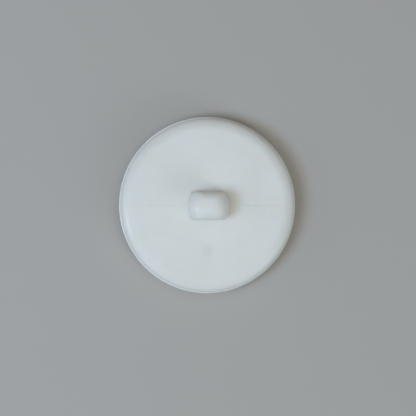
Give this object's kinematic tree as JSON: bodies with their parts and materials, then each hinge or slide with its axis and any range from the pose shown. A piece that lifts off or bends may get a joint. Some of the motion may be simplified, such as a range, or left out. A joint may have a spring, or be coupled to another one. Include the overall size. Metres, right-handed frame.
{
  "type": "sew-on shank button",
  "caption": "Round white moulded button, made of a domed face cap and a snap-in back plate whose solid shank has a cross hole for thread.",
  "frame": {"origin": "middle of the flat land of the face, on the plane that the button lies on face down", "axes": "+Z from the face up through the shank, +Y along the thread eye, +X along the mould's parting line"},
  "size_m": [0.0254, 0.0254, 0.009],
  "materials": {
    "face_white": "polished, moulded white",
    "back_white": "satin, moulded white"
  },
  "bodies": {
    "root": {"face_cap": "face_white", "back_plate": "back_white"}
  },
  "joints": []
}
